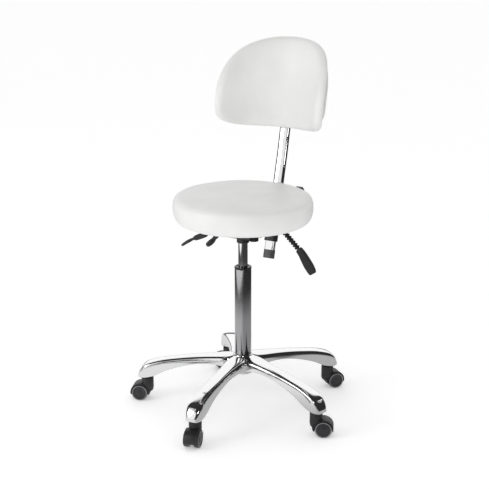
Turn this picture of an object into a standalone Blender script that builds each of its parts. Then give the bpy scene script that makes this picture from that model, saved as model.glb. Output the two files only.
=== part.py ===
"""Pedicure stool with a round seat, a half-round backrest, three levers and a five-castor star base.

Built in metres, Z up, floor at z = 0. The user faces -Y. All helper coordinates are taken from the gas-lift
axis at floor level; place() moves everything so that the overall box is centred on the origin.
"""

import math

import bmesh
import bpy
from mathutils import Matrix, Vector

# ---- driving dimensions -----------------------------------------------------------------------------------
AXIS_Y = 0.007                      # gas-lift axis, ahead of the backrest's overhang
GAP = 0.0003                        # clearance left between neighbouring pieces

STAR_R = 0.300                      # castor stems from the axis
STAR_ANGLES = (54.0, 126.0, 198.0, 270.0, 342.0)
TRAIL_ANGLES = (49.0, 225.0, 199.0, 281.0, 22.0)
WHEEL_R = 0.025
TRAIL = 0.022
WHEEL_Y = 0.0155
WHEEL_HALF = 0.00725

TUBE_R = 0.025
TUBE_INNER_R = 0.0225
TUBE_Z = (0.110, 0.442)
CYL_R = 0.014

SEAT_R = 0.2045
SEAT_Z = (0.589, 0.661)

LEAN = math.radians(14.0)           # backrest pad from the vertical
PAD_R = 0.168                       # plan radius of the pad's middle surface
PAD_BASE = (0.266, 0.840)           # y, z where the middle surface starts
PAD_HALF = 0.229                    # half the pad's width along its arc
PAD_LOW = 0.019
PAD_WIDEST = 0.080
PAD_TOP = 0.264

BAR_HALF = (0.0170, 0.0070)
BAR_FOOT = (0.175, 0.425)
BAR_BEND = (0.2712, 0.7505)
BAR_HEAD = (0.3271, 0.975)

PIVOT_SEAT = (0.045, 0.558)
PIVOT_BACK = (0.085, 0.552)
PIVOT_TILT = (-0.045, 0.556)
PIVOT_LIFT = (-0.046, 0.5768)
KNOB = (0.2350, 0.628)              # y, z of the clamp screw, on the bar's centre line

MATERIALS = {
    "leather": ((0.86, 0.86, 0.85), 0.0, 0.50),
    "chrome": ((0.80, 0.80, 0.81), 1.0, 0.08),
    "steel": ((0.55, 0.55, 0.56), 1.0, 0.30),
    "black_steel": ((0.02, 0.02, 0.022), 0.4, 0.40),
    "black_plastic": ((0.018, 0.018, 0.02), 0.0, 0.42),
    "wheel_plastic": ((0.03, 0.03, 0.033), 0.0, 0.50),
    "board": ((0.30, 0.21, 0.13), 0.0, 0.70),
    "shell": ((0.80, 0.80, 0.79), 0.0, 0.55),
}


# ---- helpers ----------------------------------------------------------------------------------------------
def mesh_object(name, verts, faces):
    mesh = bpy.data.meshes.new(name)
    mesh.from_pydata([tuple(v) for v in verts], [], faces)
    bm = bmesh.new()
    bm.from_mesh(mesh)
    bmesh.ops.remove_doubles(bm, verts=bm.verts, dist=1e-7)
    bmesh.ops.recalc_face_normals(bm, faces=bm.faces)
    bm.to_mesh(mesh)
    bm.free()
    obj = bpy.data.objects.new(name, mesh)
    bpy.context.scene.collection.objects.link(obj)
    return obj


def loft(name, sections, closed=False):
    """Skin between loops of equal point count; the two ends are capped unless the loft is a ring."""
    n = len(sections[0])
    verts = [p for section in sections for p in section]
    faces = []
    last = len(sections) if closed else len(sections) - 1
    for i in range(last):
        a = i * n
        b = ((i + 1) % len(sections)) * n
        for k in range(n):
            m = (k + 1) % n
            faces.append((a + k, a + m, b + m, b + k))
    if not closed:
        faces.append(tuple(range(n)))
        faces.append(tuple((len(sections) - 1) * n + k for k in range(n)))
    return mesh_object(name, verts, faces)


def revolve(name, profile, steps=32, phase=0.0, frame=None):
    """Turn a closed (radius, height) profile about Z; radius 0 points become poles."""
    verts = []
    index = []
    for r, z in profile:
        if r < 1e-9:
            verts.append((0.0, 0.0, z))
            index.append([len(verts) - 1] * steps)
            continue
        ring = []
        for k in range(steps):
            a = 2 * math.pi * (k + phase) / steps
            verts.append((r * math.cos(a), r * math.sin(a), z))
            ring.append(len(verts) - 1)
        index.append(ring)
    faces = []
    for i in range(len(profile)):
        low = index[i]
        high = index[(i + 1) % len(profile)]
        for k in range(steps):
            m = (k + 1) % steps
            corners = []
            for c in (low[k], low[m], high[m], high[k]):
                if c not in corners:
                    corners.append(c)
            if len(corners) > 2:
                faces.append(tuple(corners))
    if frame is not None:
        verts = [frame @ Vector(v) for v in verts]
    return mesh_object(name, verts, faces)


def box(name, low, high):
    (x0, y0, z0), (x1, y1, z1) = low, high
    loop = [(x0, y0), (x1, y0), (x1, y1), (x0, y1)]
    return loft(name, [[(x, y, z) for x, y in loop] for z in (z0, z1)])


def frame_along(start, direction, up=(0.0, 1.0, 0.0)):
    """Matrix whose Z runs along a direction and whose X stays close to `up`."""
    z = Vector(direction).normalized()
    y = z.cross(Vector(up)).normalized()
    x = y.cross(z)
    m = Matrix((x, y, z)).transposed().to_4x4()
    m.translation = Vector(start)
    return m


def cylinder(name, start, end, radius, steps=24):
    start = Vector(start)
    span = Vector(end) - start
    up = (0.0, 1.0, 0.0) if abs(span.normalized().y) < 0.9 else (1.0, 0.0, 0.0)
    profile = [(0, 0), (radius, 0), (radius, span.length), (0, span.length)]
    return revolve(name, profile, steps, 0.5, frame_along(start, span, up))


def oval(half_w, half_t, power, count):
    points = []
    for k in range(count):
        a = 2 * math.pi * (k + 0.5) / count
        c = math.cos(a)
        s = math.sin(a)
        x = half_w * math.copysign(abs(c) ** (2 / power), c)
        y = half_t * math.copysign(abs(s) ** (2 / power), s)
        points.append((x, y))
    return points


def sweep(name, path, sections, across):
    """Loft 2-D sections along a polyline; `across` is the fixed direction of each section's first axis."""
    across = Vector(across).normalized()
    path = [Vector(p) for p in path]
    loops = []
    for i, point in enumerate(path):
        before = path[max(i - 1, 0)]
        after = path[min(i + 1, len(path) - 1)]
        tangent = (after - before).normalized()
        second = tangent.cross(across).normalized()
        first = second.cross(tangent).normalized()
        loops.append([point + first * u + second * v for u, v in sections[i]])
    return loft(name, loops)


def combine(obj, tool, operation):
    """Apply one exact Boolean and drop the tool."""
    tool.hide_render = True
    tool.display_type = "WIRE"
    step = obj.modifiers.new(operation.lower(), "BOOLEAN")
    step.operation = operation
    step.solver = "EXACT"
    step.object = tool
    graph = bpy.context.evaluated_depsgraph_get()
    mesh = bpy.data.meshes.new_from_object(obj.evaluated_get(graph))
    obj.modifiers.clear()
    obj.data = mesh
    bpy.data.objects.remove(tool, do_unlink=True)


def cut(obj, *tools):
    for tool in tools:
        combine(obj, tool, "DIFFERENCE")


def add(obj, *tools):
    for tool in tools:
        combine(obj, tool, "UNION")


def place(obj, pivot, material, smooth=math.radians(38.0)):
    """Put the object's origin on its joint axis, then shift from the lift axis to the shared frame."""
    pivot = Vector(pivot)
    mesh = obj.data
    mesh.transform(Matrix.Translation(-pivot))
    obj.location = pivot + Vector((0.0, AXIS_Y, 0.0))
    for face in mesh.polygons:
        face.use_smooth = True
    mesh.set_sharp_from_angle(angle=smooth)
    colour, metallic, roughness = MATERIALS[material]
    slot = bpy.data.materials.new(obj.name)
    slot.use_nodes = True
    shader = slot.node_tree.nodes["Principled BSDF"]
    shader.inputs["Base Color"].default_value = (*colour, 1.0)
    shader.inputs["Metallic"].default_value = metallic
    shader.inputs["Roughness"].default_value = roughness
    mesh.materials.clear()
    mesh.materials.append(slot)
    return obj


# ---- castors ----------------------------------------------------------------------------------------------
def caster_frame(i):
    a = math.radians(STAR_ANGLES[i])
    stem = Matrix.Translation((STAR_R * math.cos(a), STAR_R * math.sin(a), 0.0))
    return stem @ Matrix.Rotation(math.radians(TRAIL_ANGLES[i]), 4, "Z")


def hood_profile():
    """Side outline of the hood, x along the trail: an arc round the axle closed below."""
    points = []
    for k in range(11):
        a = math.radians(-10.0 + 170.0 * k / 10)
        points.append((TRAIL + 0.0292 * math.cos(a), WHEEL_R + 0.0292 * math.sin(a)))
    points += [(-0.0115, 0.031), (-0.0085, 0.021), (0.006, 0.011), (0.036, 0.011)]
    return points


def build_caster(i):
    """One castor, built about its own stem with the axle on +X, then turned into its place."""
    frame = caster_frame(i)
    number = i + 1
    stem_at = frame.translation.copy()
    axle_at = frame @ Vector((TRAIL, 0.0, WHEEL_R))
    turn = Matrix.Rotation(math.radians(-90.0), 4, "X")

    stem = revolve(f"caster_stem_{number}", [
        (0, 0.046), (0.0055, 0.046), (0.0055, 0.0746), (0.009, 0.0746), (0.009, 0.0765),
        (0.0055, 0.0765), (0.0055, 0.105), (0, 0.105)], 12, 0.5)

    hood = loft(f"caster_hood_{number}", [[(x, y, z) for x, z in hood_profile()] for y in (-0.0205, 0.0205)])
    add(hood, revolve("collar", [(0, 0.030), (0.0165, 0.030), (0.0188, 0.036), (0.0188, 0.0715),
                                 (0.0165, 0.0742), (0, 0.0742)], 16, 0.5))
    for side in (-1, 1):
        inner = (TRAIL, side * 0.0075, WHEEL_R)
        outer = (TRAIL, side * 0.030, WHEEL_R)
        cut(hood, cylinder("pocket", inner, outer, 0.0267, 24))
    cut(hood, cylinder("stem_bore", (0, 0, 0.0445), (0, 0, 0.0800), 0.0060, 12))
    cut(hood, cylinder("axle_bore", (TRAIL, -0.012, WHEEL_R), (TRAIL, 0.012, WHEEL_R), 0.0034, 12))

    axle = cylinder(f"caster_axle_{number}", (TRAIL, -0.0190, WHEEL_R), (TRAIL, 0.0190, WHEEL_R), 0.0030, 12)

    facets = 20
    rim = WHEEL_R / math.cos(math.pi / facets)
    inner = WHEEL_Y - WHEEL_HALF
    outer = WHEEL_Y + WHEEL_HALF
    profile = [(0.0034, inner), (rim - 0.0014, inner), (rim, inner + 0.0020), (rim, outer - 0.0020),
               (rim - 0.0016, outer), (0, outer), (0, 0.0194), (0.0034, 0.0194)]
    hub = Matrix.Translation((TRAIL, 0.0, WHEEL_R)) @ turn
    wheels = []
    for side, letter in ((-1, "a"), (1, "b")):
        side_profile = [(r, side * w) for r, w in profile]
        wheels.append(revolve(f"caster_wheel_{number}_{letter}", side_profile, facets, 0.5, hub))

    for obj, origin, material in ((stem, stem_at, "steel"), (hood, stem_at, "black_plastic"),
                                  (axle, axle_at, "steel"), (wheels[0], axle_at, "wheel_plastic"),
                                  (wheels[1], axle_at, "wheel_plastic")):
        obj.data.transform(frame)
        place(obj, origin, material)


# ---- star base --------------------------------------------------------------------------------------------
ARM = (  # radius, half width, top, lower lip
    (0.020, 0.0136, 0.1648, 0.126), (0.042, 0.0300, 0.1654, 0.130), (0.060, 0.0300, 0.1642, 0.134),
    (0.085, 0.0268, 0.1614, 0.136), (0.130, 0.0232, 0.1565, 0.134), (0.175, 0.0222, 0.1508, 0.125),
    (0.224, 0.0221, 0.1430, 0.110), (0.250, 0.0228, 0.1380, 0.098), (0.275, 0.0238, 0.1312, 0.085),
    (0.300, 0.0246, 0.1222, 0.0785), (0.312, 0.0228, 0.1120, 0.0770), (0.321, 0.0192, 0.0995, 0.0770),
    (0.3275, 0.0135, 0.0865, 0.0770),
)


def arm_loop(r, half, top, low, corner):
    corner = min(corner, 0.45 * (top - low))
    side = half - 0.0010
    right = [(half, low), (side, top - corner), (side - 0.30 * corner, top - 0.30 * corner),
             (side - corner, top), (0.0, top + 0.0006)]
    left = [(-y, z) for y, z in reversed(right[:-1])]
    return [(r, y, z) for y, z in right + left]


def build_star():
    wall = 0.0030
    star = revolve("base_star", [(0, 0.112), (0.0310, 0.112), (0.0310, 0.1668), (0.0285, 0.1712),
                                 (0, 0.1712)], 32, 0.5)
    hollows = []
    for angle in STAR_ANGLES:
        turn = Matrix.Rotation(math.radians(angle), 4, "Z")
        outer = [[turn @ Vector(p) for p in arm_loop(*row, 0.0075)] for row in ARM]
        add(star, loft("arm", outer))
        rows = []
        for r, half, top, low in ARM[1:-4]:
            rows.append((r, half - wall, top - 0.0045, low - 0.020))
        rows[0] = (0.036, rows[0][1] - 0.004, rows[0][2], rows[0][3])
        rows.append((0.280, 0.0195, 0.1215, 0.055))
        inner = [[turn @ Vector(p) for p in arm_loop(*row, 0.0050)] for row in rows]
        hollows.append(loft("hollow", inner))
    cut(star, *hollows)
    for angle in STAR_ANGLES:
        a = math.radians(angle)
        x = STAR_R * math.cos(a)
        y = STAR_R * math.sin(a)
        cut(star, cylinder("stem_bore", (x, y, 0.060), (x, y, 0.1070), 0.0060, 12))
    cut(star, cylinder("hub_bore", (0, 0, 0.100), (0, 0, 0.190), TUBE_R + 0.0004, 32))
    place(star, (0, 0, 0), "chrome")


# ---- gas lift ---------------------------------------------------------------------------------------------
def build_lift():
    low, high = TUBE_Z
    tube = [(0.006, low), (TUBE_R, low), (TUBE_R, high), (TUBE_INNER_R, high),
            (TUBE_INNER_R, low + 0.004), (0.006, low + 0.004)]
    place(revolve("column_tube", tube, 32, 0.5), (0, 0, 0), "chrome")
    bush = [(0.0144, 0.360), (0.0221, 0.360), (0.0221, high + GAP), (0.0255, high + GAP), (0.0255, 0.4465),
            (0.0245, 0.4475), (0.0152, 0.4475), (0.0144, 0.4465)]
    place(revolve("column_bush", bush, 32, 0.5), (0, 0, 0), "black_plastic")
    bearing = [(0.0058, 0.1145), (0.0110, 0.1145), (0.0110, 0.1215), (0.0058, 0.1215)]
    place(revolve("thrust_bearing", bearing, 16, 0.5), (0, 0, 0), "steel")
    clip = [(0.0054, 0.1070), (0.0100, 0.1070), (0.0100, 0.1090), (0.0054, 0.1090)]
    place(revolve("retaining_clip", clip, 16, 0.5), (0, 0, 0), "steel")
    rod = [(0, 0.1035), (0.0050, 0.1035), (0.0050, 0.1220), (0.0085, 0.1220), (0.0085, 0.1260),
           (0.0050, 0.1260), (0.0050, 0.2850), (0.0115, 0.2850), (0.0115, 0.2970), (0, 0.2970)]
    place(revolve("piston_rod", rod, 16, 0.5), (0, 0, 0), "steel")
    gas = [(0.0054, 0.200), (CYL_R, 0.200), (CYL_R, 0.522), (0.0133, 0.568), (0.0042, 0.568),
           (0.0042, 0.546), (0.0120, 0.546), (0.0120, 0.212), (0.0054, 0.212)]
    place(revolve("gas_cylinder", gas, 28, 0.5), (0, 0, 0), "chrome")
    button = [(0, 0.551), (0.0038, 0.551), (0.0038, 0.5742), (0.0032, 0.5750), (0, 0.5750)]
    place(revolve("valve_button", button, 12, 0.5), (0, 0, 0.551), "steel")
    socket = [(0.01435, 0.522), (0.0180, 0.522), (0.0185, 0.523), (0.0185, 0.570), (0.01365, 0.570)]
    place(revolve("taper_socket", socket, 28, 0.5), (0, 0, 0), "black_steel")


# ---- seat mechanism ---------------------------------------------------------------------------------------
def cross_tube(name, y, z, half, outer, inner):
    ring = cylinder(name, (-half, y, z), (half, y, z), outer, 24)
    if inner:
        cut(ring, cylinder("bore", (-half - 0.01, y, z), (half + 0.01, y, z), inner, 24))
    return ring


def build_pan():
    side = [(-0.056, 0.5485), (-0.020, 0.5485), (0.026, 0.535), (0.100, 0.535), (0.100, 0.570), (-0.056, 0.566)]
    inside = [(-0.053, 0.5515), (-0.0195, 0.5515), (0.0265, 0.538), (0.120, 0.538), (0.120, 0.600),
              (-0.053, 0.600)]
    pan = loft("mechanism_pan", [[(x, y, z) for y, z in side] for x in (-0.0475, 0.0475)])
    cut(pan, loft("inside", [[(x, y, z) for y, z in inside] for x in (-0.0445, 0.0445)]))
    add(pan, box("lever_lug", (-0.0475, -0.012, 0.556), (-0.0445, 0.012, 0.5772)))
    cut(pan, box("lever_notch", (-0.060, -0.0045, 0.5735), (-0.040, 0.0045, 0.600)))
    add(pan, cylinder("spring_cup", (0.0155, 0.040, 0.518), (0.0155, 0.040, 0.5365), 0.0145, 28))
    cut(pan, cylinder("socket_hole", (0, 0, 0.530), (0, 0, 0.560), 0.0189, 40))
    for (y, z), radius in ((PIVOT_SEAT, 0.0044), (PIVOT_BACK, 0.0064), (PIVOT_TILT, 0.0044)):
        cut(pan, cylinder("pin_hole", (-0.06, y, z), (0.06, y, z), radius, 24))
    place(pan, (0, 0, 0), "black_steel")
    y, z = PIVOT_SEAT
    place(cross_tube("seat_pivot_pin", y, z, 0.0525, 0.0040, 0.0), (0, y, z), "steel")
    y, z = PIVOT_BACK
    place(cross_tube("back_pivot_pin", y, z, 0.0490, 0.0060, 0.0044), (0, y, z), "steel")


def paddle(name, path, halves, across, count=14):
    sections = [oval(w, t, 2.6, count) for w, t in halves]
    return sweep(name, path, sections, across)


def rod(name, path, radius, across, count=14):
    return sweep(name, path, [oval(radius, radius, 2.0, count)] * len(path), across)


def build_levers():
    y, z = PIVOT_TILT
    x_lift, z_lift = PIVOT_LIFT
    lift = sweep("lift_lever_rod",
                 [(0.0045, 0, 0.5771), (-0.055, 0, 0.5771), (-0.066, 0, 0.5735), (-0.078, 0, 0.564),
                  (-0.126, 0, 0.5290), (-0.146, 0, 0.5200)],
                 [oval(0.0036, 0.0017, 4.0, 12)] * 3 + [oval(0.0036, 0.0030, 2.4, 12)] * 3, (0, 1, 0))
    place(lift, (x_lift, 0, z_lift), "black_steel")
    handle = paddle("lift_lever_paddle",
                    [(-0.124, 0, 0.5304), (-0.126, 0, 0.5290), (-0.150, 0, 0.5182), (-0.162, 0, 0.5130),
                     (-0.170, 0, 0.5090), (-0.182, 0, 0.5020), (-0.196, 0, 0.4925), (-0.205, 0, 0.4860),
                     (-0.208, 0, 0.4838)],
                    [(0.0085, 0.0060), (0.0100, 0.0074), (0.0098, 0.0071), (0.0085, 0.0060),
                     (0.0062, 0.0042), (0.0120, 0.0048), (0.0130, 0.0048), (0.0090, 0.0040),
                     (0.0040, 0.0025)], (0, 1, 0))
    cut(handle, rod("socket", [(-0.116, 0, 0.5362), (-0.126, 0, 0.5290), (-0.1475, 0, 0.5193)],
                    0.0042, (0, 1, 0)))
    place(handle, (x_lift, 0, z_lift), "black_plastic")

    tilt = cylinder("tilt_lever_rod", (0.0520, y, z), (-0.0605, y, z), 0.0040, 20)
    place(tilt, (0, y, z), "black_steel")
    handle = paddle("tilt_lever_paddle",
                    [(-0.0530, y, z), (-0.0555, y, z), (-0.0605, y, 0.5515), (-0.0660, y, 0.5435),
                     (-0.0720, y, 0.5350), (-0.0790, y, 0.5270), (-0.0870, y, 0.5190), (-0.0930, y, 0.5138),
                     (-0.0955, y, 0.5118)],
                    [(0.0075, 0.0070), (0.0085, 0.0080), (0.0085, 0.0084), (0.0080, 0.0076),
                     (0.0075, 0.0060), (0.0125, 0.0076), (0.0135, 0.0078), (0.0095, 0.0064),
                     (0.0040, 0.0030)], (0, 1, 0))
    cut(handle, cylinder("socket", (-0.045, y, z), (-0.0610, y, z), 0.0043, 20))
    place(handle, (0, y, z), "black_plastic")

    y, z = PIVOT_BACK
    back = rod("back_lever_rod",
               [(-0.0500, y, z), (0.0760, y, z), (0.0840, y, 0.5505), (0.0930, y, 0.5450), (0.1430, y, 0.4960),
                (0.1500, y, 0.4886)], 0.0040, (0, 1, 0), 16)
    place(back, (0, y, z), "black_steel")
    start = Vector((0.0945, y, 0.5435))
    end = Vector((0.1405, y, 0.4985))
    length = (end - start).length
    profile = [(0.0044, 0.0), (0.0068, 0.0)]
    ribs = 7
    for k in range(ribs):
        at = length * (k + 0.5) / ribs
        profile += [(0.0068, at - 0.0023), (0.0084, at - 0.0012), (0.0084, at + 0.0012),
                    (0.0068, at + 0.0023)]
    profile += [(0.0068, length), (0.0044, length)]
    sleeve = revolve("back_lever_sleeve", profile, 10, 0.5, frame_along(start, end - start))
    place(sleeve, (0, y, z), "black_plastic")
    handle = paddle("back_lever_paddle",
                    [(0.1420, y, 0.4970), (0.1440, y, 0.4950), (0.1515, y, 0.4868), (0.1560, y, 0.4805),
                     (0.1640, y, 0.4680), (0.1740, y, 0.4525), (0.1825, y, 0.4395), (0.1885, y, 0.4300),
                     (0.1905, y, 0.4270)],
                    [(0.0060, 0.0080), (0.0068, 0.0102), (0.0070, 0.0110), (0.0068, 0.0122),
                     (0.0064, 0.0136), (0.0060, 0.0148), (0.0056, 0.0142), (0.0048, 0.0120),
                     (0.0036, 0.0090)], (0, 1, 0))
    cut(handle, rod("socket", [(0.1330, y, 0.5058), (0.1430, y, 0.4960), (0.1508, y, 0.4878)],
                    0.0044, (0, 1, 0), 16))
    place(handle, (0, y, z), "black_plastic")


# ---- seat -------------------------------------------------------------------------------------------------
def build_seat():
    pivot = (0, *PIVOT_SEAT)
    plate = box("seat_plate", (-0.085, -0.085, 0.5852), (0.085, 0.085, 0.5882))
    for side in (-1, 1):
        x0, x1 = sorted((side * 0.0480, side * 0.0510))
        add(plate, box("front_ear", (x0, -0.056, 0.5470), (x1, -0.030, 0.5862)))
        add(plate, box("pivot_ear", (x0, 0.032, 0.5480), (x1, 0.058, 0.5862)))
    cut(plate, box("slot", (-0.06, -0.0502, 0.5495), (0.06, -0.0398, 0.5672)))
    y, z = PIVOT_SEAT
    cut(plate, cylinder("pin_hole", (-0.06, y, z), (0.06, y, z), 0.0044, 24))
    board = revolve("seat_board", [(0, 0.5885), (0.180, 0.5885), (0.180, 0.6005), (0, 0.6005)], 40, 0.5)
    corners = [(x, v) for x in (-0.07, 0.07) for v in (-0.07, 0.07)]
    for number, (x, v) in enumerate(corners, 1):
        cut(plate, cylinder("bolt_hole", (x, v, 0.580), (x, v, 0.595), 0.0032, 16))
        cut(board, cylinder("bolt_hole", (x, v, 0.585), (x, v, 0.5990), 0.0032, 16))
        bolt = cylinder(f"seat_bolt_{number}", (x, v, 0.5810), (x, v, 0.5849), 0.0056, 6)
        add(bolt, cylinder("shank", (x, v, 0.5840), (x, v, 0.5980), 0.0028, 16))
        place(bolt, pivot, "steel")
    place(plate, pivot, "black_steel")
    place(board, pivot, "board")
    low, high = SEAT_Z
    profile = [(0.1805, low), (0.1850, low), (0.1950, 0.5945), (0.2010, 0.6045), (0.2040, 0.6160),
               (SEAT_R, 0.6270), (0.2032, 0.6400), (0.1995, 0.6500), (0.1930, 0.6570), (0.1820, 0.6603),
               (0.150, high), (0, high), (0, 0.6010), (0.1805, 0.6010)]
    place(revolve("seat_cushion", profile, 40, 0.5), pivot, "leather")


# ---- backrest ---------------------------------------------------------------------------------------------
def on_line(a, b, z):
    t = (z - a[1]) / (b[1] - a[1])
    return Vector((0.0, a[0] + (b[0] - a[0]) * t, z))


def build_back_bracket():
    pivot = (0, *PIVOT_BACK)
    bracket = box("back_bracket", (-0.0410, 0.068, 0.5430), (0.0410, 0.1980, 0.5620))
    cut(bracket, box("inside", (-0.0375, 0.050, 0.5455), (0.0375, 0.1940, 0.600)))
    cut(bracket, box("pan_relief", (-0.0375, 0.050, 0.530), (0.0375, 0.1040, 0.600)))
    y, z = PIVOT_BACK
    cut(bracket, cylinder("pin_hole", (-0.06, y, z), (0.06, y, z), 0.0064, 24))
    place(bracket, pivot, "black_steel")

    low = on_line(BAR_FOOT, BAR_BEND, 0.475)
    high = on_line(BAR_FOOT, BAR_BEND, 0.648)
    outer = oval(0.0205, 0.0105, 4.0, 24)
    inner = oval(BAR_HALF[0] + GAP, BAR_HALF[1] + GAP, 3.0, 24)
    sleeve = sweep("bar_sleeve", [low, high], [outer] * 2, (1, 0, 0))
    add(sleeve, box("weld_block", (-0.018, 0.1984, 0.5455), (0.018, 0.2120, 0.5600)))
    axis = (high - low).normalized()
    add(sleeve, cylinder("knob_boss", (0.015, *KNOB), (0.0270, *KNOB), 0.0080, 24))
    cut(sleeve, sweep("bore", [low - axis * 0.02, high + axis * 0.02], [inner] * 2, (1, 0, 0)))
    cut(sleeve, cylinder("screw_hole", (0.010, *KNOB), (0.030, *KNOB), 0.0044, 20))
    place(sleeve, pivot, "black_steel")

    knob = revolve("clamp_knob", [
        (0, 0.0177), (0.0040, 0.0177), (0.0040, 0.0550), (0.0110, 0.0560), (0.0170, 0.0590),
        (0.0190, 0.0630), (0.0190, 0.0790), (0.0170, 0.0840), (0, 0.0850)],
        20, 0.5, frame_along((0, *KNOB), (1, 0, 0)))
    place(knob, (0, *KNOB), "black_plastic")


def pad_point(arc, rise, offset):
    """Point of the backrest pad: arc length across, rise along the lean, offset outward from the middle."""
    angle = arc / PAD_R
    radius = PAD_R + offset
    y = PAD_BASE[0] + radius * math.cos(angle) - PAD_R + rise * math.sin(LEAN)
    return Vector((radius * math.sin(angle), y, PAD_BASE[1] + rise * math.cos(LEAN)))


PAD_STATIONS = (0.0, 0.030, 0.060, 0.090, 0.120, 0.148, 0.175, 0.197, 0.213, 0.224)


def pad_shell(name, inset, rows, front, back):
    """Flat-bottomed half-round slab bent round the sitter; front and back give offsets from the middle."""
    half = PAD_HALF - inset
    up = PAD_TOP - PAD_WIDEST - inset
    down = PAD_WIDEST + PAD_LOW - inset
    right = [a for a in PAD_STATIONS if a < half - 1e-6] + [half]
    stations = [-a for a in reversed(right[1:])] + right
    grids = []
    for depth in (front, back):
        grid = []
        for arc in stations:
            share = min(abs(arc) / half, 1.0)
            top = up * (1.0 - share ** 2.0) ** 0.5
            low = -down * (1.0 - share ** 3.3) ** (1 / 3.3)
            column = []
            for v in rows:
                rise = low + (top - low) * v
                if rise > 0:
                    level = math.hypot(share, rise / up)
                else:
                    level = (share ** 3.3 + (-rise / down) ** 3.3) ** (1 / 3.3)
                column.append(pad_point(arc, PAD_WIDEST + rise, depth(min(level, 1.0))))
            grid.append(column)
        grids.append(grid)
    verts = [p for grid in grids for column in grid for p in column]
    n = len(rows)
    size = n * len(stations)
    faces = []
    for g in range(2):
        for j in range(len(stations) - 1):
            for k in range(n - 1):
                a = g * size + j * n + k
                faces.append((a, a + 1, a + n + 1, a + n))
    edge = [j * n for j in range(len(stations))]
    edge += [(len(stations) - 1) * n + k for k in range(1, n)]
    edge += [j * n + n - 1 for j in reversed(range(len(stations) - 1))]
    edge += [k for k in reversed(range(1, n - 1))]
    for i, a in enumerate(edge):
        b = edge[(i + 1) % len(edge)]
        faces.append((a, b, b + size, a + size))
    return mesh_object(name, verts, faces)


def build_backrest():
    origin = on_line(BAR_FOOT, BAR_BEND, 0.612)
    along = Vector((0.0, BAR_BEND[0] - BAR_FOOT[0], BAR_BEND[1] - BAR_FOOT[1])).normalized()
    foot = Vector((0.0, *BAR_FOOT))
    bend = Vector((0.0, *BAR_BEND))
    head = Vector((0.0, *BAR_HEAD))
    path = [foot, bend - along * 0.012, bend, bend + (head - bend).normalized() * 0.012, head]
    bar = sweep("back_bar", path, [oval(*BAR_HALF, 3.0, 24)] * 5, (1, 0, 0))
    wide = (head - bend).normalized()
    inside = [foot - along * 0.01] + path[1:4] + [head + wide * 0.01]
    cut(bar, sweep("bore", inside, [oval(BAR_HALF[0] - 0.0016, BAR_HALF[1] - 0.0016, 3.0, 24)] * 5, (1, 0, 0)))

    board = pad_shell("pad_board", 0.032, (0.0, 0.3, 0.7, 1.0), lambda s: 0.0125, lambda s: 0.0190)
    place_later = []
    normal = Vector((0.0, math.cos(LEAN), -math.sin(LEAN)))
    for number, z in ((1, 0.868), (2, 0.938)):
        centre = on_line(BAR_BEND, BAR_HEAD, z)
        back = centre + normal * (BAR_HALF[1] + GAP)
        tip = centre - normal * 0.0125
        bolt = cylinder(f"pad_bolt_{number}", back, back + normal * 0.0040, 0.0056, 6)
        add(bolt, cylinder("shank", back + normal * 0.0020, tip, 0.0028, 16))
        cut(bar, cylinder("hole", back + normal * 0.01, centre - normal * 0.0095, 0.0032, 16))
        cut(board, cylinder("hole", centre, centre - normal * 0.0132, 0.0032, 16))
        place_later.append(bolt)
    for bolt in place_later:
        place(bolt, origin, "steel")
    place(bar, origin, "chrome")
    place(board, origin, "shell")

    def puff(depth, power):
        return lambda s: depth * max(0.0, 1.0 - s ** power) ** (1.0 / power)

    cushion = pad_shell("pad_cushion", 0.0, (0.0, 0.03, 0.12, 0.35, 0.65, 0.88, 0.97, 1.0),
                        puff(-0.0190, 6.0), puff(0.0120, 8.0))
    place(cushion, origin, "leather", math.radians(60.0))

    cap = sweep("bar_end_cap", [foot - along * 0.0014, foot + along * 0.0245],
                [oval(0.0181, 0.0084, 3.2, 24)] * 2, (1, 0, 0))
    cut(cap, sweep("mouth", [foot - along * GAP, foot + along * 0.03],
                   [oval(BAR_HALF[0] + GAP, BAR_HALF[1] + GAP, 3.0, 24)] * 2, (1, 0, 0)))
    place(cap, origin, "black_plastic")


def main():
    for obj in list(bpy.data.objects):
        bpy.data.objects.remove(obj, do_unlink=True)
    for i in range(len(STAR_ANGLES)):
        build_caster(i)
    build_star()
    build_lift()
    build_pan()
    build_levers()
    build_seat()
    build_back_bracket()
    build_backrest()


main()
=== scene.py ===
"""Pedicure stool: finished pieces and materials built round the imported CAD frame."""

import math

import bmesh
import bpy
from mathutils import Matrix, Vector, noise


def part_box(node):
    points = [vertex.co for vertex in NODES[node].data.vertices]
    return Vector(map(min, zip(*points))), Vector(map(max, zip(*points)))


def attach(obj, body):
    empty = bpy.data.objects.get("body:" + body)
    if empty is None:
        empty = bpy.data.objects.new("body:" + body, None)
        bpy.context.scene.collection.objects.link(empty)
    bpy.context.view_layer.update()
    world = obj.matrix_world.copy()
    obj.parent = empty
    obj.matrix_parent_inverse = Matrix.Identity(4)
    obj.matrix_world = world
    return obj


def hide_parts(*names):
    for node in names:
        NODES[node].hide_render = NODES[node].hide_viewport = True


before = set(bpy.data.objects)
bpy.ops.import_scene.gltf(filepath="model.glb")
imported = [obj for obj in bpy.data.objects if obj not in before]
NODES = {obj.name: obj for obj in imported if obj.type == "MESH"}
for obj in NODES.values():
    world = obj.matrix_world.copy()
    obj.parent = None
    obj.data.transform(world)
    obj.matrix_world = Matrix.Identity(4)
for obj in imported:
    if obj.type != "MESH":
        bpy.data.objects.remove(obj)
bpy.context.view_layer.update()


def centre(node):
    low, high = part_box(node)
    return (low + high) / 2


AXIS = Vector((centre("column_tube").x, centre("column_tube").y, 0.0))


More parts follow.
